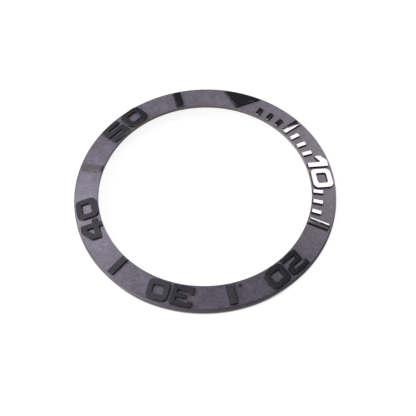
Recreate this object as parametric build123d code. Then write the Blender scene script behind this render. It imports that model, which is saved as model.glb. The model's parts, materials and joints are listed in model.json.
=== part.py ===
from build123d import *
import os
from math import atan, cos, radians, sin, sqrt

os.makedirs("parts", exist_ok=True)

# Ring section, in millimetres. The seat lies on Z = 0 and the dial side faces +Z.
outer_radius = 19.0
ring_width = 3.55
outer_edge_height = 0.85
inner_edge_height = 1.70
inner_edge_thickness = 0.55
outer_chamfer = 0.18
inner_chamfer = 0.06
foot_chamfer = 0.12
seat_width = 0.65
recess_depth = 0.30

# Adhesive ring and its peel-off liner, both lying in the recess under the ring.
adhesive_inner_margin = 0.30
adhesive_outer_margin = 0.15
adhesive_thickness = 0.12
liner_thickness = 0.08
liner_overlap = 0.05
peel_clearance = 0.01

# Raised markers: how they stand on the sloped face and how they sit in it.
relief_height = 0.27
flank_run = 0.10
triangle_flank_run = 0.14
inner_end_run = 0.24
inner_end_step = 0.02
pocket_depth = 0.10
pocket_clearance = 0.015
marker_inner_land = 0.02
marker_outer_land = 0.17
numeral_corner_land = 0.05

# Marker outlines at the foot of their flanks.
baton_width = 1.15
tick_width = 0.78
tick_length = 1.66
bar_tip_radius = 0.04
triangle_apex_width = 0.26
triangle_base_width = 5.7
triangle_apex_margin = 0.30
numeral_one_width = 2.05
numeral_gap = 0.25
numeral_tick_clearance = 0.013
numeral_corner_radius = 0.85
numeral_bend_radius = 0.55
numeral_tip_radius = 0.02
numeral_nick_radius = 0.05
numeral_hole_radius = 0.22

# Small round dimple beside the minute 25 baton.
dimple_radius = 0.22
dimple_depth = 0.10
dimple_margin = 0.80
dimple_minute = 24.15

# Cutting and joining bodies run past the surfaces that they cut by this much.
overrun = 0.60
head_overrun = 0.02

# Minutes that carry each kind of marker.
degrees_per_minute = 360 / 60
baton_minutes = (5, 15, 25, 35, 45, 55)
tick_minutes = (2, 3, 4, 6, 7, 8, 12, 13, 14)
minutes_from_ten_to_tick = 2

# Numeral outlines as shares of their width and height, running anticlockwise from the inner left
# corner. The last entry of each corner names its rounding.
one_shares = (
    (0.54, 0.00, "tip"),
    (1.00, 0.00, "tip"),
    (1.00, 1.00, "tip"),
    (0.45, 1.00, "tip"),
    (0.00, 0.74, "tip"),
    (0.00, 0.46, "tip"),
    (0.17, 0.45, "tip"),
    (0.54, 0.62, "nick"),
)
two_shares = (
    (0.18, 0.00, "tip"),
    (1.00, 0.00, "tip"),
    (1.00, 0.26, "tip"),
    (0.38, 0.26, "nick"),
    (0.38, 0.38, "nick"),
    (0.80, 0.43, "tip"),
    (1.00, 0.56, "tip"),
    (1.00, 1.00, "bend"),
    (0.06, 1.00, "tip"),
    (0.06, 0.68, "tip"),
    (0.24, 0.68, "tip"),
    (0.26, 0.76, "nick"),
    (0.73, 0.76, "nick"),
    (0.73, 0.62, "nick"),
    (0.18, 0.62, "tip"),
)
three_shares = (
    (0.08, 0.00, "tip"),
    (1.00, 0.00, "bend"),
    (1.00, 1.00, "bend"),
    (0.00, 1.00, "tip"),
    (0.00, 0.67, "tip"),
    (0.22, 0.67, "tip"),
    (0.24, 0.75, "nick"),
    (0.73, 0.75, "nick"),
    (0.73, 0.62, "nick"),
    (0.30, 0.62, "tip"),
    (0.30, 0.39, "tip"),
    (0.73, 0.39, "nick"),
    (0.73, 0.27, "nick"),
    (0.24, 0.27, "nick"),
    (0.22, 0.345, "tip"),
    (0.00, 0.345, "tip"),
)
four_shares = (
    (0.53, 0.00, "tip"),
    (0.81, 0.00, "tip"),
    (0.81, 0.15, "nick"),
    (1.00, 0.15, "tip"),
    (1.00, 0.43, "tip"),
    (0.81, 0.43, "nick"),
    (0.81, 1.00, "tip"),
    (0.43, 1.00, "tip"),
    (0.00, 0.61, "tip"),
    (0.00, 0.15, "tip"),
    (0.53, 0.15, "nick"),
)
four_hole_shares = (
    (0.26, 0.43, "nick"),
    (0.53, 0.43, "nick"),
    (0.53, 0.73, "nick"),
)
five_shares = (
    (0.04, 0.00, "tip"),
    (1.00, 0.00, "bend"),
    (1.00, 0.62, "bend"),
    (0.27, 0.62, "nick"),
    (0.27, 0.74, "nick"),
    (0.94, 0.74, "tip"),
    (0.96, 1.00, "tip"),
    (0.00, 1.00, "tip"),
    (0.00, 0.38, "tip"),
    (0.73, 0.38, "nick"),
    (0.73, 0.26, "nick"),
    (0.24, 0.26, "nick"),
    (0.22, 0.34, "tip"),
    (0.02, 0.34, "tip"),
)
zero_shares = (
    (0.00, 0.00, "corner"),
    (1.00, 0.00, "corner"),
    (1.00, 1.00, "corner"),
    (0.00, 1.00, "corner"),
)
zero_hole_shares = (
    (0.27, 0.29, "hole"),
    (0.73, 0.29, "hole"),
    (0.73, 0.71, "hole"),
    (0.27, 0.71, "hole"),
)

# Values worked out from the sizes above.
inner_radius = outer_radius - ring_width
slope = (inner_edge_height - outer_edge_height) / ring_width
slope_angle = atan(slope)
seat_outer_radius = outer_radius - foot_chamfer
recess_radius = seat_outer_radius - seat_width
inner_foot_height = inner_edge_height - inner_edge_thickness
underside_slope = (inner_foot_height - recess_depth) / (recess_radius - inner_radius)
face_outer_radius = outer_radius - outer_chamfer
marker_inner_radius = inner_radius + inner_chamfer + marker_inner_land
marker_outer_radius = face_outer_radius - marker_outer_land
marker_middle_radius = (marker_inner_radius + marker_outer_radius) / 2
marker_length = (marker_outer_radius - marker_inner_radius) / cos(slope_angle)
marker_limit_radius = face_outer_radius - numeral_corner_land
inner_end_radius = marker_inner_radius + inner_end_run
tick_bearing = radians(minutes_from_ten_to_tick * degrees_per_minute)
tick_reach = marker_inner_radius * sin(tick_bearing) - tick_width / 2 * cos(tick_bearing)
ten_width = 2 * (tick_reach - numeral_tick_clearance)
numeral_width = ten_width - numeral_one_width - numeral_gap
head_height = relief_height + head_overrun
head_inset = flank_run * head_height / relief_height
rounding = {
    "nick": numeral_nick_radius,
    "tip": numeral_tip_radius + head_inset,
    "bend": numeral_bend_radius,
    "corner": numeral_corner_radius,
    "hole": numeral_hole_radius,
}


def surface_height(radius):
    """Height of the sloped upper face at a radius."""
    return outer_edge_height + slope * (outer_radius - radius)


def underside_height(radius):
    """Height of the recessed conical underside at a radius."""
    return recess_depth + underside_slope * (recess_radius - radius)


def turned(points):
    """Solid of revolution about Z from (radius, height) points."""
    outline = Plane.XZ * make_face(Polyline(*points, close=True))
    return revolve(outline, axis=Axis.Z)


def face_band(low, high, first_radius, last_radius):
    """Turned band that follows the upper face from low to high above it."""
    return turned([
        (first_radius, surface_height(first_radius) + low),
        (last_radius, surface_height(last_radius) + low),
        (last_radius, surface_height(last_radius) + high),
        (first_radius, surface_height(first_radius) + high),
    ])


def underside_band(drop, thickness, first_radius, last_radius):
    """Turned band that follows the underside, its top lying drop below it."""
    return turned([
        (first_radius, underside_height(first_radius) - drop - thickness),
        (last_radius, underside_height(last_radius) - drop - thickness),
        (last_radius, underside_height(last_radius) - drop),
        (first_radius, underside_height(first_radius) - drop),
    ])


def minute_plane(minute):
    """Plane on the sloped face at a minute: X runs clockwise and Y outwards down the slope."""
    bearing = radians(90 - minute * degrees_per_minute)
    origin = (
        marker_middle_radius * cos(bearing),
        marker_middle_radius * sin(bearing),
        surface_height(marker_middle_radius),
    )
    clockwise = (sin(bearing), -cos(bearing), 0)
    normal = (sin(slope_angle) * cos(bearing), sin(slope_angle) * sin(bearing), cos(slope_angle))
    return Plane(origin=origin, x_dir=clockwise, z_dir=normal)


def rounded_outline(points, radii):
    """Face inside a closed line whose corners are rounded one by one."""
    return make_face(FilletPolyline(*points, radius=radii, close=True))


def share_outline(shares, left, width):
    """Numeral outline from its shares, standing on the inner end of the marker band."""
    points = [
        (left + across * width, along * marker_length - marker_length / 2)
        for across, along, corner in shares
    ]
    radii = [rounding[corner] for across, along, corner in shares]
    return rounded_outline(points, radii)


def bar_outline(width, length):
    """Straight marker standing on the inner end of the marker band."""
    inner_end = -marker_length / 2
    points = [
        (-width / 2, inner_end),
        (width / 2, inner_end),
        (width / 2, inner_end + length),
        (-width / 2, inner_end + length),
    ]
    return rounded_outline(points, bar_tip_radius + head_inset)


def triangle_outline():
    """Triangle with its blunt tip inwards and its base on the outer circle of the markers."""
    half_tip = triangle_apex_width / 2
    half_base = triangle_base_width / 2
    corner_radius = sqrt(marker_outer_radius**2 - half_base**2)
    tip, corner, crown = [
        (radius - marker_middle_radius) / cos(slope_angle)
        for radius in (inner_radius + triangle_apex_margin, corner_radius, marker_outer_radius)
    ]
    sides = Polyline((half_base, corner), (half_tip, tip), (-half_tip, tip), (-half_base, corner))
    base = ThreePointArc((-half_base, corner), (0, crown), (half_base, corner))
    return make_face(sides + base)


def leaning_block(outline, height, inset):
    """Block on an outline whose sides lean in by inset over its height."""
    foot = outline.face()
    crown = (Pos(0, 0, height) * offset(outline, amount=-inset, kind=Kind.INTERSECTION)).face()
    block = Solid.make_loft([foot.outer_wire(), crown.outer_wire()], ruled=True)
    for foot_hole, crown_hole in zip(foot.inner_wires(), crown.inner_wires()):
        block -= Solid.make_loft([foot_hole, crown_hole], ruled=True)
    return block


def marker_envelope():
    """Turned space that holds every marker: its inner end slopes up gently from a low step."""
    first_radius = marker_inner_radius - overrun
    return turned([
        (first_radius, surface_height(first_radius) - pocket_depth),
        (marker_limit_radius, surface_height(marker_limit_radius) - pocket_depth),
        (marker_limit_radius, surface_height(marker_limit_radius) + relief_height),
        (inner_end_radius, surface_height(inner_end_radius) + relief_height),
        (marker_inner_radius, surface_height(marker_inner_radius) + inner_end_step),
        (first_radius, surface_height(first_radius) + inner_end_step),
    ])


def raised_marker(plane, outline, run=flank_run):
    """Marker with a straight root in its pocket and leaning flanks above the face."""
    root = extrude(outline, amount=-overrun)
    head = leaning_block(outline, head_height, run * head_height / relief_height)
    return plane.location * (root + head) & marker_envelope()


def marker_pocket(plane, outline):
    """Shallow pocket that takes a marker's root."""
    widened = offset(outline, amount=pocket_clearance)
    block = extrude(plane * widened, amount=overrun, both=True)
    limits = face_band(
        -pocket_depth,
        overrun,
        marker_inner_radius - pocket_clearance,
        marker_limit_radius + pocket_clearance,
    )
    return block & limits


def plain_ring():
    """Dished ring: flat seat, recessed conical underside, sloped face, chamfered edges."""
    return turned([
        (inner_radius, inner_foot_height),
        (recess_radius, recess_depth),
        (recess_radius, 0),
        (seat_outer_radius, 0),
        (outer_radius, foot_chamfer),
        (outer_radius, outer_edge_height - outer_chamfer),
        (face_outer_radius, surface_height(face_outer_radius)),
        (inner_radius + inner_chamfer, surface_height(inner_radius + inner_chamfer)),
        (inner_radius, inner_edge_height - inner_chamfer),
    ])


def dimple():
    """Small round dimple in the sloped face."""
    radius = inner_radius + dimple_margin
    bearing = radians(90 - dimple_minute * degrees_per_minute)
    place = Pos(radius * cos(bearing), radius * sin(bearing), surface_height(radius) - dimple_depth)
    return place * Cylinder(dimple_radius, overrun, align=(Align.CENTER, Align.CENTER, Align.MIN))


def numeral_outlines():
    """Every digit of the five numerals, by node name, with its minute."""
    left_digits = {
        10: ("one", one_shares, numeral_one_width),
        20: ("two", two_shares, numeral_width),
        30: ("three", three_shares, numeral_width),
        40: ("four", four_shares, numeral_width),
        50: ("five", five_shares, numeral_width),
    }
    outlines = {}
    for minute, (digit, shares, width) in left_digits.items():
        left = -(width + numeral_gap + numeral_width) / 2
        zero_left = left + width + numeral_gap
        left_digit = share_outline(shares, left, width)
        if digit == "four":
            left_digit -= share_outline(four_hole_shares, left, width)
        zero = share_outline(zero_shares, zero_left, numeral_width)
        zero -= share_outline(zero_hole_shares, zero_left, numeral_width)
        outlines[f"numeral_{minute}_{digit}"] = (minute, left_digit)
        outlines[f"numeral_{minute}_zero"] = (minute, zero)
    return outlines


def marker_outlines():
    """Every marker by node name, with its minute."""
    outlines = {"triangle_marker": (0, triangle_outline())}
    outlines.update(numeral_outlines())
    for minute in baton_minutes:
        outlines[f"baton_{minute:02d}"] = (minute, bar_outline(baton_width, marker_length))
    for minute in tick_minutes:
        outlines[f"minute_tick_{minute:02d}"] = (minute, bar_outline(tick_width, tick_length))
    return outlines


def write_node(name, solid):
    """One solid to one file."""
    export_step(solid, f"parts/{name}.step")
    print(name, round(solid.volume, 4))


ring = plain_ring() - dimple()
for name, (minute, outline) in marker_outlines().items():
    plane = minute_plane(minute)
    run = triangle_flank_run if name == "triangle_marker" else flank_run
    write_node(name, raised_marker(plane, outline, run))
    ring -= marker_pocket(plane, outline)
write_node("insert_ring", ring)

adhesive_first = inner_radius + adhesive_inner_margin
adhesive_last = recess_radius - adhesive_outer_margin
liner_first = adhesive_first - liner_overlap
liner_last = adhesive_last + liner_overlap
liner_drop = adhesive_thickness + peel_clearance
write_node("adhesive_ring", underside_band(0, adhesive_thickness, adhesive_first, adhesive_last))
write_node("release_liner", underside_band(liner_drop, liner_thickness, liner_first, liner_last))
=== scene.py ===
import json
import math

import bmesh
import bpy
from mathutils import Matrix, Vector

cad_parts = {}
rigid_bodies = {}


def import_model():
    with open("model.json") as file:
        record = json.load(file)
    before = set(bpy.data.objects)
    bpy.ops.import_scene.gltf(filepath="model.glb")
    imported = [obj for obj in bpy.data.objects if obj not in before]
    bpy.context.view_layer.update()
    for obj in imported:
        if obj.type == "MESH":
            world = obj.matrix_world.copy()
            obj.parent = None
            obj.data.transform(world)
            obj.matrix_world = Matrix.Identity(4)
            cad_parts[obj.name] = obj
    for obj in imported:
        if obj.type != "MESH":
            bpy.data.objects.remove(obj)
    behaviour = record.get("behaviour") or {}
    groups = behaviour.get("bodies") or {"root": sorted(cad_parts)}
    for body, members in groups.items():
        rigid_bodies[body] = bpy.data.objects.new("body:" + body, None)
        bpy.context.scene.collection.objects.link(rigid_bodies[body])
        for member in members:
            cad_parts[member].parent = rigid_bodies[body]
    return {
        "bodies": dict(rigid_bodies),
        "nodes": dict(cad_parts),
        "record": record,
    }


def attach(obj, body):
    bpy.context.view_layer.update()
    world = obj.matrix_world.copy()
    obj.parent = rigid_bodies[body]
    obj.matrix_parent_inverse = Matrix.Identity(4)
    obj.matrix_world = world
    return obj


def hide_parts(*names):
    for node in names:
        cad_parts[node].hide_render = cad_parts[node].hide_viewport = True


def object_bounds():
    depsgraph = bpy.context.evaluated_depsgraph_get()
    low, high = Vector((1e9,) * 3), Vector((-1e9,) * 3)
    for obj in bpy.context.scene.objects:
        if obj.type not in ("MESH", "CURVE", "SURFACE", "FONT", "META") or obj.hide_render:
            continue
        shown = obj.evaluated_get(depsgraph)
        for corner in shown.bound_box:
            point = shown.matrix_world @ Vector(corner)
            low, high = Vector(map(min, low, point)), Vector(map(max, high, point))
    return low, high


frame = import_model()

cadBox = [list(corner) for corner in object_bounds()]
nodes = frame["nodes"]
subparts = frame["record"]["subparts"]
mounts = {mount["name"]: mount for mount in frame["record"]["mounts"]}
mm = 0.001

# sizes of the ring that the finishes follow, in millimetres
ringShape = {
    "rimRadius": mounts["outer_rim"]["dims"]["r_mm"],
    "openingRadius": mounts["crystal_opening"]["dims"]["r_mm"],
    "rimHeight": 0.85,        # where the sloped face would meet the rim
    "openingHeight": 1.70,    # where it would meet the opening
    "openingChamfer": 0.06,
    "relief": 0.27,           # how far the markers stand above the face
    "dimpleRadius": 0.22,
    "dimpleFromAxis": 16.25,
    "dimpleMinute": 24.15,
    "minuteTurn": 6,          # degrees from one minute to the next
}
ringWidth = ringShape["rimRadius"] - ringShape["openingRadius"]
faceSlope = (ringShape["openingHeight"] - ringShape["rimHeight"]) / ringWidth
faceTilt = math.atan(faceSlope)


# camera

photoCamera = {
    "lens": 346.15,
    "sensor": 36.0,
    "distance": 580.05 * mm,
    "elevation": 57.70,
    "azimuth": 18.54,
    "roll": -1.91,
    "aside": 0.4085 * mm,
    "above": -1.0635 * mm,
    "clipTimes": 10,          # the clipping planes, as a factor of the distance
}


def standAt(thing, place, right, up, back):
    # right, up and back are the thing's own axes
    thing.matrix_world = Matrix.Translation(place) @ Matrix((right, up, back)).transposed().to_4x4()
    bpy.context.scene.collection.objects.link(thing)


def makeCamera(values):
    azimuth = math.radians(values["azimuth"])
    elevation = math.radians(values["elevation"])
    roll = math.radians(values["roll"])
    back = Vector((
        math.sin(azimuth) * math.cos(elevation),
        -math.cos(azimuth) * math.cos(elevation),
        math.sin(elevation),
    ))
    levelRight = Vector((math.cos(azimuth), math.sin(azimuth), 0))
    levelUp = back.cross(levelRight)
    right = math.cos(roll) * levelRight + math.sin(roll) * levelUp
    up = math.cos(roll) * levelUp - math.sin(roll) * levelRight
    place = values["distance"] * back + values["aside"] * right + values["above"] * up
    data = bpy.data.cameras.new("photoCamera")
    data.lens = values["lens"]
    data.sensor_width = values["sensor"]
    data.clip_start = values["distance"] / values["clipTimes"]
    data.clip_end = values["distance"] * values["clipTimes"]
    camera = bpy.data.objects.new("photoCamera", data)
    standAt(camera, place, right, up, back)
    bpy.context.scene.camera = camera


makeCamera(photoCamera)
bpy.context.scene.view_settings.view_transform = "Standard"
print("camera: placed at the photo's angle")


# small helpers for node trees

def newMaterial(name):
    material = bpy.data.materials.new(name)
    material.use_nodes = True
    tree = material.node_tree
    return material, tree, tree.nodes["Principled BSDF"]


def feed(tree, socket, value):
    # a socket is linked, and any other value is set
    if value is None:
        return
    if isinstance(value, bpy.types.NodeSocket):
        tree.links.new(value, socket)
    else:
        socket.default_value = value


def addMath(tree, operation, *values):
    node = tree.nodes.new("ShaderNodeMath")
    node.operation = operation
    for socket, value in zip(node.inputs, values):
        feed(tree, socket, value)
    return node.outputs[0]


def addVectorMath(tree, operation, *values):
    node = tree.nodes.new("ShaderNodeVectorMath")
    node.operation = operation
    for socket, value in zip(node.inputs, values):
        feed(tree, socket, value)
    givesNumber = operation in ("DOT_PRODUCT", "DISTANCE")
    return node.outputs["Value" if givesNumber else "Vector"]


def addScaled(tree, vector, factor):
    node = tree.nodes.new("ShaderNodeVectorMath")
    node.operation = "SCALE"
    feed(tree, node.inputs[0], vector)
    feed(tree, node.inputs["Scale"], factor)
    return node.outputs[0]


def addSplit(tree, vector):
    node = tree.nodes.new("ShaderNodeSeparateXYZ")
    feed(tree, node.inputs[0], vector)
    return node.outputs


def addJoined(tree, *values):
    node = tree.nodes.new("ShaderNodeCombineXYZ")
    for socket, value in zip(node.inputs, values):
        feed(tree, socket, value)
    return node.outputs[0]


def addToWorld(tree, normal):
    node = tree.nodes.new("ShaderNodeVectorTransform")
    node.vector_type = "NORMAL"
    node.convert_from = "OBJECT"
    node.convert_to = "WORLD"
    feed(tree, node.inputs[0], normal)
    return node.outputs[0]


def addRange(tree, kind, values):
    node = tree.nodes.new("ShaderNodeMapRange")
    node.interpolation_type = kind
    for name, value in zip(("Value", "From Min", "From Max", "To Min", "To Max"), values):
        feed(tree, node.inputs[name], value)
    return node.outputs["Result"]


def addRamp(tree, value, low, high, toLow=0.0, toHigh=1.0):
    # from toLow to toHigh with soft ends
    return addRange(tree, "SMOOTHSTEP", (value, low, high, toLow, toHigh))


def addShare(tree, value, low, high):
    # 0 at low and 1 at high, straight between
    return addRange(tree, "LINEAR", (value, low, high))


def addMix(tree, kind, share, first, second):
    # the first socket and the output that each kind of mix uses
    place, output = {"FLOAT": (2, 0), "VECTOR": (4, 1), "RGBA": (6, 2)}[kind]
    node = tree.nodes.new("ShaderNodeMix")
    node.data_type = kind
    feed(tree, node.inputs[0], share)
    feed(tree, node.inputs[place], first)
    feed(tree, node.inputs[place + 1], second)
    return node.outputs[output]


def addColorMix(tree, share, first, second, blend="MIX"):
    color = addMix(tree, "RGBA", share, first, second)
    color.node.blend_type = blend
    return color


def addNoise(tree, vector, scale, detail, roughness=0.5):
    node = tree.nodes.new("ShaderNodeTexNoise")
    names = ("Vector", "Scale", "Detail", "Roughness")
    for name, value in zip(names, (vector, scale, detail, roughness)):
        feed(tree, node.inputs[name], value)
    return node.outputs["Fac"]


def addBump(tree, height, depth, strength, normal=None):
    node = tree.nodes.new("ShaderNodeBump")
    node.inputs["Strength"].default_value = strength
    node.inputs["Distance"].default_value = depth
    feed(tree, node.inputs["Height"], height)
    feed(tree, node.inputs["Normal"], normal)
    return node.outputs[0]


vectorSocket = "NodeSocketVector"
numberSocket = "NodeSocketFloat"


def newGroup(name, inputs, outputs, **defaults):
    # inputs and outputs hold the kind of each socket by its name
    group = bpy.data.node_groups.new(name, "ShaderNodeTree")
    for label, kind in inputs.items():
        socket = group.interface.new_socket(label, in_out="INPUT", socket_type=kind)
        if label in defaults:
            socket.default_value = defaults[label]
    for label, kind in outputs.items():
        group.interface.new_socket(label, in_out="OUTPUT", socket_type=kind)
    given = group.nodes.new("NodeGroupInput").outputs
    result = group.nodes.new("NodeGroupOutput").inputs
    return group, given, result


def useGroup(tree, group, **values):
    node = tree.nodes.new("ShaderNodeGroup")
    node.node_tree = group
    for label, value in values.items():
        feed(tree, node.inputs[label], value)
    return node.outputs


# shared effects

def makeRingPlace():
    # where a point lies on the ring: its place and radius in millimetres, and the normal of the
    # sloped face there
    group, given, result = newGroup(
        "ringPlace",
        {},
        {"place": vectorSocket, "radius": numberSocket, "slopeNormal": vectorSocket},
    )
    coordinates = group.nodes.new("ShaderNodeTexCoord")
    place = addScaled(group, coordinates.outputs["Object"], 1 / mm)
    x, y = addSplit(group, place)[:2]
    xSquared = addMath(group, "MULTIPLY", x, x)
    radius = addMath(group, "SQRT", addMath(group, "MULTIPLY_ADD", y, y, xSquared))
    lean = addMath(group, "DIVIDE", math.sin(faceTilt), radius)
    normal = addJoined(group, addMath(group, "MULTIPLY", x, lean),
                       addMath(group, "MULTIPLY", y, lean), math.cos(faceTilt))
    feed(group, result["place"], place)
    feed(group, result["radius"], radius)
    feed(group, result["slopeNormal"], normal)
    return group


grainShape = {
    "grainDetail": 3.0,
    "grainRoughness": 0.6,
    "mottleDetail": 2.0,
    "mottleRoughness": 0.5,
    "mottleShare": 0.5,
    "middle": 0.75,           # the mean of both, which leaves the brightness as it is
}


def makeBlastGrain(values):
    # fine blasted grain: a height for the bump and a brightness share around 1
    group, given, result = newGroup(
        "blastGrain",
        {"place": vectorSocket, "grainScale": numberSocket, "mottleScale": numberSocket,
         "contrast": numberSocket},
        {"height": numberSocket, "tone": numberSocket},
    )
    grain = addNoise(group, given["place"], given["grainScale"],
                     values["grainDetail"], values["grainRoughness"])
    mottle = addNoise(group, given["place"], given["mottleScale"],
                      values["mottleDetail"], values["mottleRoughness"])
    both = addMath(group, "MULTIPLY_ADD", mottle, values["mottleShare"], grain)
    centred = addMath(group, "SUBTRACT", both, values["middle"])
    tone = addMath(group, "MULTIPLY_ADD", centred, given["contrast"], 1.0)
    feed(group, result["height"], grain)
    feed(group, result["tone"], tone)
    return group


def makeSlopeShading():
    # surfaces that lie along the slope, within so many degrees, take its true normal, so the cone
    # reflects without facets
    group, given, result = newGroup(
        "slopeShading",
        {"slopeNormal": vectorSocket, "within": numberSocket},
        {"normal": vectorSocket},
        within=4.0,
    )
    slope = addToWorld(group, given["slopeNormal"])
    surface = group.nodes.new("ShaderNodeNewGeometry").outputs
    agreement = addVectorMath(group, "DOT_PRODUCT", surface["True Normal"], slope)
    limit = addMath(group, "COSINE", addMath(group, "RADIANS", given["within"]))
    onSlope = addMath(group, "GREATER_THAN", agreement, limit)
    feed(group, result["normal"], addMix(group, "VECTOR", onSlope, surface["Normal"], slope))
    return group


def makeRimRounding():
    # shades the outer part of the chamfer and the top of the wall as one narrow bevel with soft
    # edges, with sizes in millimetres
    group, given, result = newGroup(
        "rimRounding",
        {"normal": vectorSocket, "place": vectorSocket, "radius": numberSocket,
         "bevelFrom": numberSocket, "wallHeight": numberSocket, "bevelHeight": numberSocket,
         "bevelLean": numberSocket, "softBelow": numberSocket, "softAbove": numberSocket},
        {"normal": vectorSocket},
    )
    x, y, z = addSplit(group, given["place"])
    lean = addMath(group, "RADIANS", given["bevelLean"])
    wallTop = addMath(group, "SUBTRACT", given["wallHeight"], given["softBelow"])
    lower = addMath(group, "MULTIPLY", addShare(group, z, wallTop, given["wallHeight"]), lean)
    bevelTop = addMath(group, "ADD", given["bevelHeight"], given["softAbove"])
    rest = addMath(group, "SUBTRACT", math.pi / 2 - faceTilt, lean)
    upper = addMath(group, "MULTIPLY", addShare(group, z, given["bevelHeight"], bevelTop), rest)
    lift = addMath(group, "ADD", lower, upper)
    outwards = addMath(group, "DIVIDE", addMath(group, "COSINE", lift), given["radius"])
    bevel = addJoined(group, addMath(group, "MULTIPLY", x, outwards),
                      addMath(group, "MULTIPLY", y, outwards), addMath(group, "SINE", lift))
    onRim = addMath(group, "GREATER_THAN", given["radius"], given["bevelFrom"])
    overFoot = addMath(group, "GREATER_THAN", z, wallTop)
    onBevel = addMath(group, "MULTIPLY", onRim, overFoot)
    normal = addMix(group, "VECTOR", onBevel, given["normal"], addToWorld(group, bevel))
    feed(group, result["normal"], normal)
    return group


def makeSteepFlanks():
    # the steep flanks of the markers reflect as if they stood upright on the face, but one that
    # looks to the front on the left side of the ring lies back and catches the warm panel
    group, given, result = newGroup(
        "steepFlanks",
        {"normal": vectorSocket, "slopeNormal": vectorSocket, "place": vectorSocket,
         "lean": numberSocket, "lieBack": numberSocket, "steepTo": numberSocket,
         "gentleFrom": numberSocket, "frontTo": numberSocket, "sideFrom": numberSocket,
         "leftTo": numberSocket, "middleFrom": numberSocket},
        {"normal": vectorSocket},
    )
    slope = addToWorld(group, given["slopeNormal"])
    agreement = addVectorMath(group, "DOT_PRODUCT", given["normal"], slope)
    steep = addRamp(group, agreement, given["steepTo"], given["gentleFrom"], 1.0, 0.0)
    toFront = addRamp(group, addSplit(group, given["normal"])[1],
                      given["frontTo"], given["sideFrom"], 1.0, 0.0)
    onLeft = addRamp(group, addSplit(group, given["place"])[0],
                     given["leftTo"], given["middleFrom"], 1.0, 0.0)
    frontLeft = addMath(group, "MULTIPLY", toFront, onLeft)
    lying = addMath(group, "MULTIPLY", frontLeft, given["lieBack"])
    less = addMath(group, "SUBTRACT", given["lean"], 1.0)
    move = addMath(group, "MULTIPLY_ADD", agreement, less, lying)
    change = addMath(group, "MULTIPLY", steep, move)
    moved = addVectorMath(group, "MULTIPLY_ADD", slope, change, given["normal"])
    feed(group, result["normal"], addVectorMath(group, "NORMALIZE", moved))
    return group


handlingMarks = {
    "speckScale": 1.6,        # specks in a millimetre
    "speckSize": 0.05,
    "smearScale": 0.8,
    "patchScale": 0.5,        # the specks keep to patches
    "patchDetail": 1.0,
    "patchOver": 0.5,
    "smearDetail": 3.0,
    "smearFrom": (0.4, 0.7),
}


def makeHandling(values):
    # marks of handling: sparse specks of dust, and broad smears that dull a polish
    group, given, result = newGroup(
        "handling",
        {"place": vectorSocket, "speckScale": numberSocket, "speckSize": numberSocket,
         "smearScale": numberSocket},
        {"dust": numberSocket, "smear": numberSocket},
        speckScale=values["speckScale"],
        speckSize=values["speckSize"],
        smearScale=values["smearScale"],
    )
    specks = group.nodes.new("ShaderNodeTexVoronoi")
    feed(group, specks.inputs["Vector"], given["place"])
    feed(group, specks.inputs["Scale"], given["speckScale"])
    speck = addMath(group, "LESS_THAN", specks.outputs["Distance"], given["speckSize"])
    patches = addNoise(group, given["place"], values["patchScale"], values["patchDetail"])
    inPatch = addMath(group, "GREATER_THAN", patches, values["patchOver"])
    smear = addNoise(group, given["place"], given["smearScale"], values["smearDetail"])
    feed(group, result["dust"], addMath(group, "MULTIPLY", speck, inPatch))
    feed(group, result["smear"], addRamp(group, smear, *values["smearFrom"]))
    return group


ringPlace = makeRingPlace()
blastGrain = makeBlastGrain(grainShape)
slopeShading = makeSlopeShading()
rimRounding = makeRimRounding()
steepFlanks = makeSteepFlanks()
handling = makeHandling(handlingMarks)
print("effects: ring coordinates, grain, shading of slope, rim and flanks, handling marks")


# the ring: blasted face, polished rim, plain inner wall

ringLook = {
    "face": (0.080, 0.075, 0.094, 1),
    "rim": (0.100, 0.096, 0.108, 1),
    "rimLeft": (0.040, 0.038, 0.044, 1),      # painted shade that darkens the rim on the left side
    "rimWidth": 0.11,
    # on the left the rim's band is wider, which widens its painted shade
    "rimLeftWidth": 0.19,
    "rimSoft": 0.03,
    # x in millimetres where the painted shade on the rim is full and where it ends
    "leftFrom": (-14.0, -9.0),
    "innerWall": (0.16, 0.145, 0.115, 1),
    "index": 2.15,            # zirconia
    "gloss": 0.29,
    "glossTint": (0.97, 0.93, 1.0, 1),
    "faceRoughness": 0.47,
    "rimRoughness": 0.28,
    "wallRoughness": 0.40,
    "grainPerMm": 3.6,
    "mottlePerMm": 0.9,
    "grainContrast": 2.2,
    "grainBump": 0.5,
    "grainDepth": 0.02 * mm,
    "wallSoft": 0.02,
    # painted shade in the dimple, spread a little past its edge
    "dimple": (0.008, 0.008, 0.012, 1),
    "dimpleSoft": (0.13, 0.05),               # how far outside its edge the painted shade ends and is full
    "dust": (0.30, 0.29, 0.28, 1),
    "speckSize": 0.03,
}
rimBevel = {
    "bevelFrom": 18.81,       # radius
    "wallHeight": 0.58,
    "bevelHeight": 0.72,
    "bevelLean": 40.0,        # degrees up from level
    "softBelow": 0.06,
    "softAbove": 0.04,
}


def addDimpleShade(tree, place, look):
    # 1 inside the small round dimple and just past its edge, fading further out: a mask of painted
    # shade
    bearing = math.radians(ringShape["dimpleMinute"] * ringShape["minuteTurn"])
    middle = (ringShape["dimpleFromAxis"] * math.sin(bearing),
              ringShape["dimpleFromAxis"] * math.cos(bearing), 0)
    level = addVectorMath(tree, "MULTIPLY", place, (1, 1, 0))
    distance = addVectorMath(tree, "DISTANCE", level, middle)
    ends, full = look["dimpleSoft"]
    edge = ringShape["dimpleRadius"]
    return addRamp(tree, distance, edge + ends, edge + full)


def addLeftShadeShare(tree, place, look):
    # 1 on the left part of the ring, where the rim has painted shade, and 0 on the rest
    return addRamp(tree, addSplit(tree, place)[0], *look["leftFrom"], 1.0, 0.0)


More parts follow.
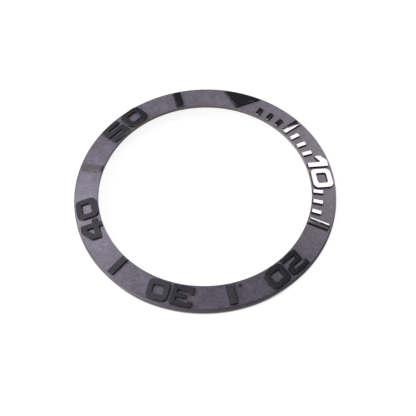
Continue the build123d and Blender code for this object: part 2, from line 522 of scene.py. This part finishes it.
def makeRingMaterial(look, bevel):
    material, tree, shader = newMaterial("blastedCeramic")
    ring = useGroup(tree, ringPlace)
    grain = useGroup(tree, blastGrain, place=ring["place"], grainScale=look["grainPerMm"],
                     mottleScale=look["mottlePerMm"], contrast=look["grainContrast"])
    marks = useGroup(tree, handling, place=ring["place"], speckSize=look["speckSize"])
    # painted shade: on the left the rim is darker and its band wider
    leftShadeShare = addLeftShadeShare(tree, ring["place"], look)
    shadeWidening = look["rimLeftWidth"] - look["rimWidth"]
    rimWidth = addMath(tree, "MULTIPLY_ADD", leftShadeShare, shadeWidening, look["rimWidth"])
    rimEdge = addMath(tree, "SUBTRACT", ringShape["rimRadius"], rimWidth)
    onRim = addRamp(tree, ring["radius"], addMath(tree, "SUBTRACT", rimEdge, look["rimSoft"]),
                    addMath(tree, "ADD", rimEdge, look["rimSoft"]))
    rimWithShadeColor = addColorMix(tree, leftShadeShare, look["rim"], look["rimLeft"])
    wallEdge = ringShape["openingRadius"] + ringShape["openingChamfer"]
    onWall = addRamp(tree, ring["radius"], wallEdge + look["wallSoft"], wallEdge - look["wallSoft"])

    color = addColorMix(tree, 1.0, look["face"], grain["tone"], "MULTIPLY")
    color = addColorMix(tree, marks["dust"], color, look["dust"])
    # painted shade in and around the dimple
    color = addColorMix(tree, addDimpleShade(tree, ring["place"], look), color, look["dimple"])
    color = addColorMix(tree, onRim, color, rimWithShadeColor)
    color = addColorMix(tree, onWall, color, look["innerWall"])
    roughness = addRamp(tree, onRim, 0, 1, look["faceRoughness"], look["rimRoughness"])
    roughness = addMix(tree, "FLOAT", onWall, roughness, look["wallRoughness"])

    slope = useGroup(tree, slopeShading, slopeNormal=ring["slopeNormal"])
    rounded = useGroup(tree, rimRounding, normal=slope["normal"], place=ring["place"],
                       radius=ring["radius"], **bevel)
    matte = addMath(tree, "SUBTRACT", 1.0, addMath(tree, "MAXIMUM", onRim, onWall))
    height = addMath(tree, "MULTIPLY", grain["height"], matte)
    normal = addBump(tree, height, look["grainDepth"], look["grainBump"], rounded["normal"])

    feed(tree, shader.inputs["Base Color"], color)
    feed(tree, shader.inputs["Roughness"], roughness)
    feed(tree, shader.inputs["Normal"], normal)
    feed(tree, shader.inputs["IOR"], look["index"])
    feed(tree, shader.inputs["Specular IOR Level"], look["gloss"])
    feed(tree, shader.inputs["Specular Tint"], look["glossTint"])
    return material


# the raised markers: polished black, all alike

markerLook = {
    "color": (0.008, 0.008, 0.009, 1),
    "dust": (0.12, 0.12, 0.12, 1),
    "roughness": 0.02,
    "smearRoughness": 0.035,
    "dustRoughness": 0.6,
    "smearPerMm": 0.8,
    "wavesPerMm": 0.9,
    "waveDetail": 1.0,
    "waveBump": 1.0,
    "waveDepth": 0.001 * mm,
    "index": 2.15,            # zirconia
}
flankShading = {
    "lean": 0.25,             # how much of a flank's slope is left in its reflections
    "lieBack": 0.49,
    "steepTo": 0.50,          # agreement of a flank with the face's normal
    "gentleFrom": 0.66,
    "frontTo": -0.93,         # y of a flank's normal
    "sideFrom": -0.89,
    "leftTo": -14.0,          # x of its place in millimetres
    "middleFrom": -11.0,
}


def makeMarkerMaterial(look, flank):
    material, tree, shader = newMaterial("polishedBlack")
    ring = useGroup(tree, ringPlace)
    marks = useGroup(tree, handling, place=ring["place"], smearScale=look["smearPerMm"])
    color = addColorMix(tree, marks["dust"], look["color"], look["dust"])
    roughness = addRamp(tree, marks["smear"], 0, 1, look["roughness"], look["smearRoughness"])
    roughness = addRamp(tree, marks["dust"], 0, 1, roughness, look["dustRoughness"])
    slope = useGroup(tree, slopeShading, slopeNormal=ring["slopeNormal"])
    flanks = useGroup(tree, steepFlanks, normal=slope["normal"], place=ring["place"],
                      slopeNormal=ring["slopeNormal"], **flank)
    waves = addNoise(tree, ring["place"], look["wavesPerMm"], look["waveDetail"])
    normal = addBump(tree, waves, look["waveDepth"], look["waveBump"], flanks["normal"])
    feed(tree, shader.inputs["Base Color"], color)
    feed(tree, shader.inputs["Roughness"], roughness)
    feed(tree, shader.inputs["Normal"], normal)
    feed(tree, shader.inputs["IOR"], look["index"])
    return material


# the adhesive and its liner

adhesiveLook = {
    "color": (0.09, 0.085, 0.07, 1),
    "dust": (0.30, 0.28, 0.24, 1),
    "roughness": 0.75,
    "smearRoughness": 0.55,   # tacky patches
    "grainPerMm": 7.0,        # cells of the foam
    "mottlePerMm": 0.5,
    "contrast": 1.4,
    "bump": 0.7,
    "depth": 0.03 * mm,
}
linerLook = {
    "color": (0.62, 0.55, 0.38, 1),
    "dust": (0.30, 0.26, 0.20, 1),
    "roughness": 0.38,
    "smearRoughness": 0.28,   # where the silicone coat lies thicker
    "grainPerMm": 2.5,        # fibres of the paper
    "mottlePerMm": 0.3,
    "contrast": 0.45,
    "bump": 0.4,
    "depth": 0.01 * mm,
}


def makeSheetMaterial(name, look):
    material, tree, shader = newMaterial(name)
    ring = useGroup(tree, ringPlace)
    grain = useGroup(tree, blastGrain, place=ring["place"], grainScale=look["grainPerMm"],
                     mottleScale=look["mottlePerMm"], contrast=look["contrast"])
    marks = useGroup(tree, handling, place=ring["place"], smearScale=look["mottlePerMm"])
    color = addColorMix(tree, 1.0, look["color"], grain["tone"], "MULTIPLY")
    color = addColorMix(tree, marks["dust"], color, look["dust"])
    roughness = addRamp(tree, marks["smear"], 0, 1, look["roughness"], look["smearRoughness"])
    normal = addBump(tree, grain["height"], look["depth"], look["bump"])
    feed(tree, shader.inputs["Base Color"], color)
    feed(tree, shader.inputs["Roughness"], roughness)
    feed(tree, shader.inputs["Normal"], normal)
    return material


looks = {
    "matte_ceramic": makeRingMaterial(ringLook, rimBevel),
    "black_marker": makeMarkerMaterial(markerLook, flankShading),
    "adhesive_foam": makeSheetMaterial("adhesiveFoam", adhesiveLook),
    "liner_paper": makeSheetMaterial("linerPaper", linerLook),
}
for row in subparts:
    for slot in nodes[row["node"]].material_slots:
        slot.material = looks[row["material_slot"]]
print("finishes: ring, markers, adhesive and liner")


# markers with rounded top edges, which stand for the sharp CAD ones

markerEdges = {
    "round": {
        "numeral": 0.015 * mm,
        "baton": 0.015 * mm,
        "minute": 0.015 * mm,
        "triangle": 0.01 * mm,
        "numeral_40": 0.004 * mm,             # these two catch the window
        "numeral_50": 0.004 * mm,
    },
    "steps": 2,
    "profile": 0.5,           # a round one
    "mergeWithin": 1e-3 * mm,
    "flatWithin": 3.0,        # degrees, as in the next two
    "topWithin": 6.0,
    "sharpOver": 40.0,
}


def slopeNormalAt(point):
    outwards = Vector((point.x, point.y, 0)).normalized()
    return outwards * math.sin(faceTilt) + Vector((0, 0, math.cos(faceTilt)))


def overFaceAt(point):
    radius = math.hypot(point.x, point.y) / mm
    return point.z / mm - ringShape["rimHeight"] - (ringShape["rimRadius"] - radius) * faceSlope


def roundTopEdges(mesh, width, values):
    sharpOver = math.radians(values["sharpOver"])
    shape = bmesh.new()
    shape.from_mesh(mesh)
    bmesh.ops.remove_doubles(shape, verts=shape.verts, dist=values["mergeWithin"])
    bmesh.ops.dissolve_limit(shape, angle_limit=math.radians(values["flatWithin"]),
                             verts=shape.verts, edges=shape.edges)
    shape.normal_update()
    leastAgreement = math.cos(math.radians(values["topWithin"]))
    for face in shape.faces:
        middle = face.calc_center_median()
        alongSlope = face.normal.dot(slopeNormalAt(middle)) > leastAgreement
        face.tag = alongSlope and overFaceAt(middle) > ringShape["relief"] / 2
    topEdges = [edge for edge in shape.edges
                if len(edge.link_faces) == 2 and edge.link_faces[0].tag != edge.link_faces[1].tag]
    bmesh.ops.bevel(shape, geom=topEdges, offset=width, offset_type="OFFSET",
                    segments=values["steps"], profile=values["profile"], affect="EDGES",
                    clamp_overlap=True)
    shape.normal_update()
    for face in shape.faces:
        face.smooth = True
    for edge in shape.edges:
        if len(edge.link_faces) == 2 and edge.calc_face_angle() > sharpOver:
            edge.smooth = False
    rounded = bpy.data.meshes.new(mesh.name + "_rounded")
    shape.to_mesh(rounded)
    shape.free()
    return rounded


def makeRoundedMarker(name, values):
    kind, pair = name.split("_")[0], name.rpartition("_")[0]
    width = values["round"].get(pair, values["round"][kind])
    rough = bpy.data.objects.new(name + "_rough", roundTopEdges(nodes[name].data, width, values))
    bpy.context.scene.collection.objects.link(rough)
    weighted = rough.modifiers.new("weightedNormals", "WEIGHTED_NORMAL")
    weighted.keep_sharp = True
    evaluated = rough.evaluated_get(bpy.context.evaluated_depsgraph_get())
    mesh = bpy.data.meshes.new_from_object(evaluated)
    bpy.data.objects.remove(rough)
    mesh.name = name + "_rounded"
    mesh.materials.clear()
    mesh.materials.append(looks["black_marker"])
    marker = bpy.data.objects.new(name + "_rounded", mesh)
    bpy.context.scene.collection.objects.link(marker)
    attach(marker, "insert")
    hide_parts(name)


markerNames = [row["node"] for row in subparts if row["material_slot"] == "black_marker"]
for name in markerNames:
    makeRoundedMarker(name, markerEdges)
print("markers:", len(markerNames), "with rounded edges")


# floor

floorLook = {
    "size": 4.0,
    "under": 0.02 * mm,
    "color": (0.20, 0.20, 0.20, 1),
    "roughness": 0.9,
    "glow": 0.89,             # whitens the floor in the picture
    "glowColor": (1, 1, 1, 1),
    "glossShare": 0.45,       # how much of the glow glossy surfaces see
    "contactReach": 0.25 * mm,
    "contactPower": 3.0,
    "shadeSide": (0.26, -0.966, 0.0),         # where the ring's shade falls, away from the key lamp
    "shadeFrom": (13.0 * mm, 17.5 * mm),
}


def addContact(tree, look):
    # 1 on the open floor, less under the shaded part of the rim and close beside it
    near = tree.nodes.new("ShaderNodeAmbientOcclusion")
    near.inputs["Distance"].default_value = look["contactReach"]
    openness = addMath(tree, "POWER", near.outputs["AO"], look["contactPower"])
    coordinates = tree.nodes.new("ShaderNodeTexCoord")
    along = addVectorMath(tree, "DOT_PRODUCT", coordinates.outputs["Object"], look["shadeSide"])
    shaded = addRamp(tree, along, *look["shadeFrom"])
    dimmed = addMath(tree, "SUBTRACT", openness, 1.0)
    return addMath(tree, "MULTIPLY_ADD", dimmed, shaded, 1.0)


def makeFloor(look):
    half = look["size"] / 2
    low = cadBox[0][2] - look["under"]
    corners = [(-half, -half, low), (half, -half, low), (half, half, low), (-half, half, low)]
    mesh = bpy.data.meshes.new("floor")
    mesh.from_pydata(corners, [], [(0, 1, 2, 3)])
    floor = bpy.data.objects.new("floor", mesh)
    bpy.context.scene.collection.objects.link(floor)
    floor.parent = frame["bodies"]["liner"]    # it stays under the liner that comes off
    material, tree, shader = newMaterial("whiteFloor")
    path = tree.nodes.new("ShaderNodeLightPath").outputs
    inGloss = addMath(tree, "MAXIMUM", path["Is Glossy Ray"], path["Is Transmission Ray"])
    seen = addMath(tree, "MULTIPLY_ADD", inGloss, look["glossShare"], path["Is Camera Ray"])
    glow = addMath(tree, "MULTIPLY", seen, look["glow"])
    strength = addMath(tree, "MULTIPLY", glow, addContact(tree, look))
    feed(tree, shader.inputs["Base Color"], look["color"])
    feed(tree, shader.inputs["Roughness"], look["roughness"])
    feed(tree, shader.inputs["Emission Color"], look["glowColor"])
    feed(tree, shader.inputs["Emission Strength"], strength)
    mesh.materials.append(material)
    print("floor: white, under the liner")


makeFloor(floorLook)


# lamps and surroundings

keyLamp = {
    "towards": (0.12, 0.69, 0.71),
    "distance": 500 * mm,
    "aside": 20 * mm,
    "above": -3.75 * mm,
    "width": 210 * mm,
    "height": 187.7 * mm,
    "radiance": 7.7,
    "color": (1.0, 0.93, 0.985),
}
upperStrip = dict(keyLamp, aside=7.5 * mm, above=102 * mm, width=188 * mm, height=12 * mm,
                  radiance=1.2)
upperStripEnd = dict(upperStrip, aside=11.5 * mm, width=193 * mm, radiance=0.6)
beamLamp = {
    "towards": (-0.76, 0.165, 0.62),
    "distance": 500 * mm,
    "aim": (-20.5 * mm, -12 * mm, 0),
    "cone": 3.4,              # degrees across
    "softEdge": 0.12,
    "size": 6 * mm,
    "level": 0.44,
    "color": (0.97, 0.94, 1.0),
}
# turn is in degrees from the left, minus towards the front, and height in degrees over the floor
lightTent = {
    "plainLeft": 0.42,
    "plainRight": 0.11,
    "rightFrom": (-0.05, 0.30),
    "back": 0.09,
    "backFrom": (0.55, 0.80),
    "color": (0.96, 0.92, 1.06),
    "panels": [
        {"color": (4.7, 4.56, 4.8), "turnFrom": (-45, -25), "turnTo": (22, 34),
         "heightFrom": (8, 13), "heightTo": (32, 42)},
        {"color": (2.4, 2.31, 2.5), "turnFrom": (-76, -62), "turnTo": (-45, -25),
         "heightFrom": (8, 16), "heightTo": (40, 50)},
        {"color": (1.9, 1.83, 1.97), "turnFrom": (-30, -20), "turnTo": (28, 36),
         "heightFrom": (8, 13), "heightTo": (18, 28)},
        {"color": (0.50, 0.46, 0.62), "turnFrom": (36, 40), "turnTo": (45, 49),
         "heightFrom": (35, 39), "heightTo": (43, 46)},
        {"color": (1.7, 1.7, 1.85), "turnFrom": (22, 34), "turnTo": (75, 95),
         "heightFrom": (4, 10), "heightTo": (16, 24)},
        {"color": (4.4, 2.7, 2.3), "turnFrom": (-100, -90), "turnTo": (-60, -50),
         "heightFrom": (-12, -6), "heightTo": (5, 10)},
        # a dark card that takes light away over the 3
        {"color": (-0.13, -0.13, -0.13), "turnFrom": (5, 12), "turnTo": (40, 60),
         "heightFrom": (79.0, 80.5), "heightTo": (87, 89)},
    ],
}


def acrossFrom(back):
    # the level axis and the upright one of a lamp whose back points that way
    aside = Vector((0, 0, 1)).cross(back).normalized()
    return aside, back.cross(aside)


def makeLamp(name, values):
    back = Vector(values["towards"]).normalized()
    aside, above = acrossFrom(back)
    place = values["distance"] * back - values["aside"] * aside + values["above"] * above
    data = bpy.data.lights.new(name, "AREA")
    data.shape = "RECTANGLE"
    data.size = values["width"]
    data.size_y = values["height"]
    data.energy = values["radiance"] * math.pi * values["width"] * values["height"]
    data.color = values["color"]
    lamp = bpy.data.objects.new(name, data)
    lamp.visible_camera = False
    standAt(lamp, place, aside, above, back)


def makeBeam(values):
    # a narrow lamp that lights only the left side of the ring
    place = values["distance"] * Vector(values["towards"]).normalized()
    back = (place - Vector(values["aim"])).normalized()
    data = bpy.data.lights.new("beamLamp", "SPOT")
    data.spot_size = math.radians(values["cone"])
    data.spot_blend = values["softEdge"]
    data.shadow_soft_size = values["size"]
    data.energy = values["level"] * 4 * math.pi ** 2 * values["distance"] ** 2
    data.color = values["color"]
    lamp = bpy.data.objects.new("beamLamp", data)
    lamp.visible_camera = False
    standAt(lamp, place, *acrossFrom(back), back)


def addBand(tree, value, rise, fall):
    # 1 from the end of the rise to the start of the fall
    return addMath(tree, "MULTIPLY", addRamp(tree, value, *rise), addRamp(tree, value, *fall, 1, 0))


def makeTent(values):
    world = bpy.data.worlds.new("lightTent")
    world.use_nodes = True
    tree = world.node_tree
    coordinates = tree.nodes.new("ShaderNodeTexCoord")
    x, y, z = addSplit(tree, coordinates.outputs["Generated"])
    toLeft = addMath(tree, "MULTIPLY", x, -1.0)
    turn = addMath(tree, "DEGREES", addMath(tree, "ARCTAN2", y, toLeft))
    height = addMath(tree, "DEGREES", addMath(tree, "ARCSINE", z))
    plain = addRamp(tree, x, *values["rightFrom"], values["plainLeft"], values["plainRight"])
    plain = addRamp(tree, y, *values["backFrom"], plain, values["back"])
    light = addScaled(tree, values["color"], plain)
    for panel in values["panels"]:
        inTurn = addBand(tree, turn, panel["turnFrom"], panel["turnTo"])
        inHeight = addBand(tree, height, panel["heightFrom"], panel["heightTo"])
        share = addMath(tree, "MULTIPLY", inTurn, inHeight)
        light = addVectorMath(tree, "ADD", light, addScaled(tree, panel["color"], share))
    feed(tree, tree.nodes["Background"].inputs["Color"], light)
    bpy.context.scene.world = world


makeLamp("keyLamp", keyLamp)
makeLamp("upperStrip", upperStrip)
makeLamp("upperStripEnd", upperStripEnd)
makeBeam(beamLamp)
makeTent(lightTent)
print("light: key lamp, upper strip, beam lamp and light tent")
